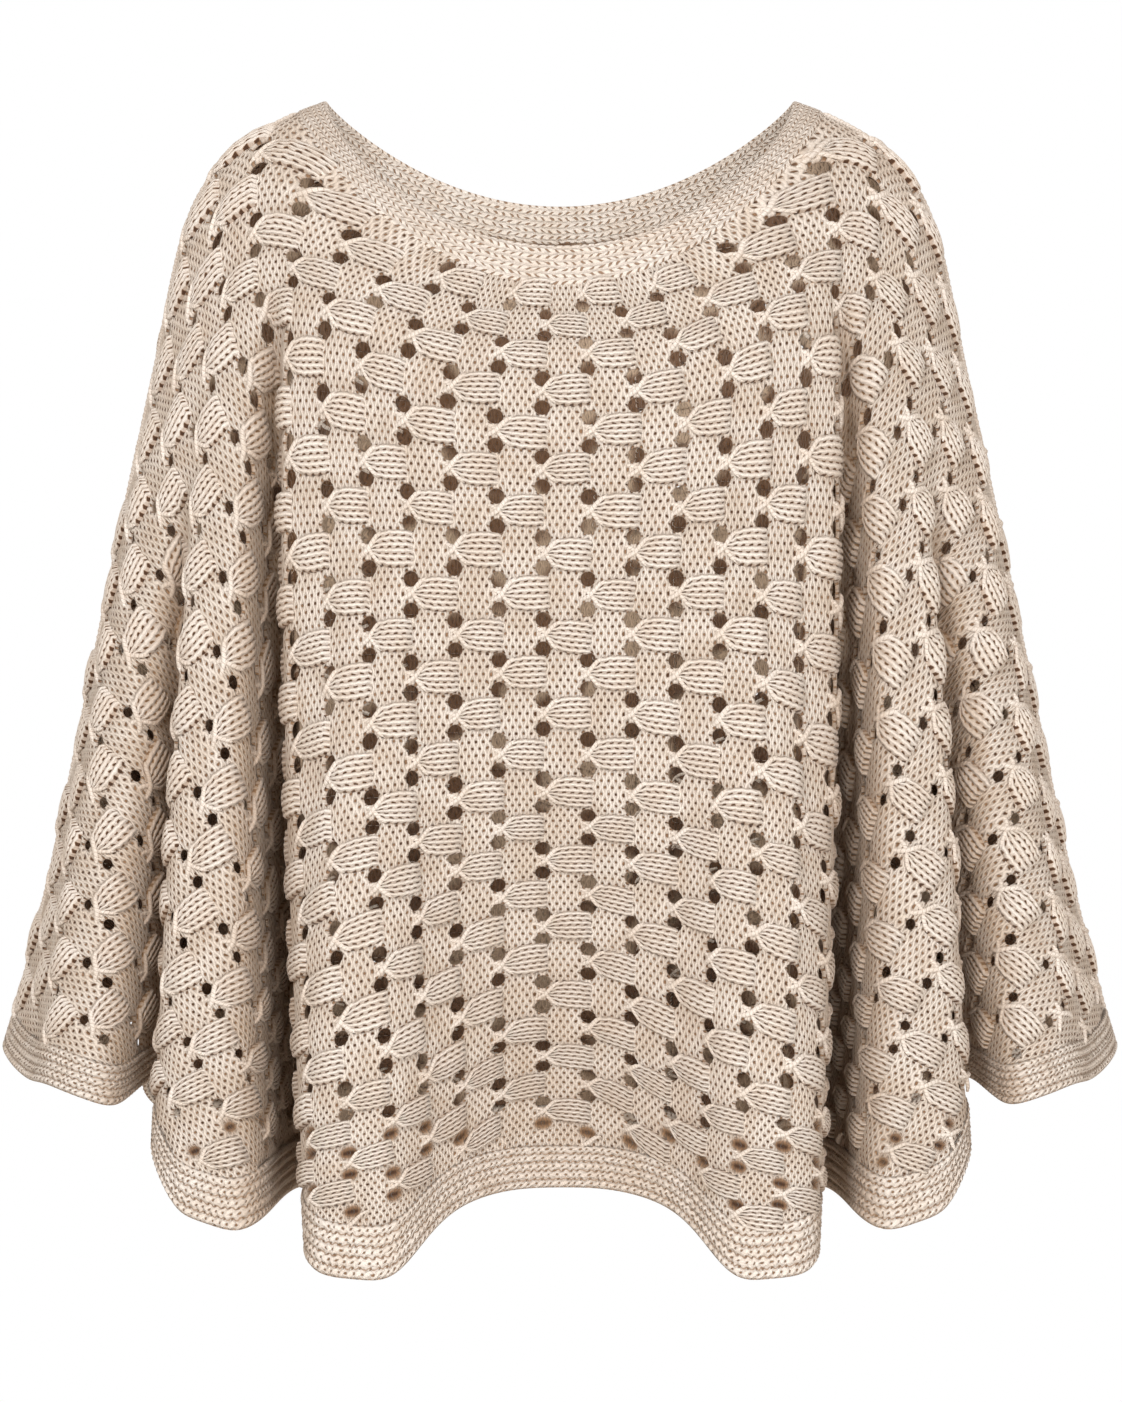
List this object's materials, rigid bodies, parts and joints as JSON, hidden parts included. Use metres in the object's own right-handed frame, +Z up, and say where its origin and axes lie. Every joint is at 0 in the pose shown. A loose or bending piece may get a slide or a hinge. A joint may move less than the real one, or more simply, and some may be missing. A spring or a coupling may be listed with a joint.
{
  "type": "openwork knitted poncho",
  "caption": "Hand-knitted poncho with a boat neck, an openwork shell stitch, deep hanging folds and a garter-stitch hem, standing hollow as if worn.",
  "frame": {"origin": "midway between the two shoulder tips of the neck edge, where the wearer's shoulders carry the poncho", "axes": "+Z up, +X towards the garment's own left arm, on the viewer's right when looking at the front, front of the poncho towards -Y"},
  "size_m": [0.6802, 0.4273, 0.6957],
  "materials": {
    "lace_knit": "soft matt wool yarn, openwork shell stitch",
    "band_knit": "soft matt wool yarn, fine firm rib",
    "garter_knit": "soft matt wool yarn, garter ridges"
  },
  "bodies": {
    "root": {"neck_band": "band_knit", "front_panel": "lace_knit", "back_panel": "lace_knit", "hem_border_front": "garter_knit", "hem_border_back": "garter_knit"}
  },
  "joints": []
}
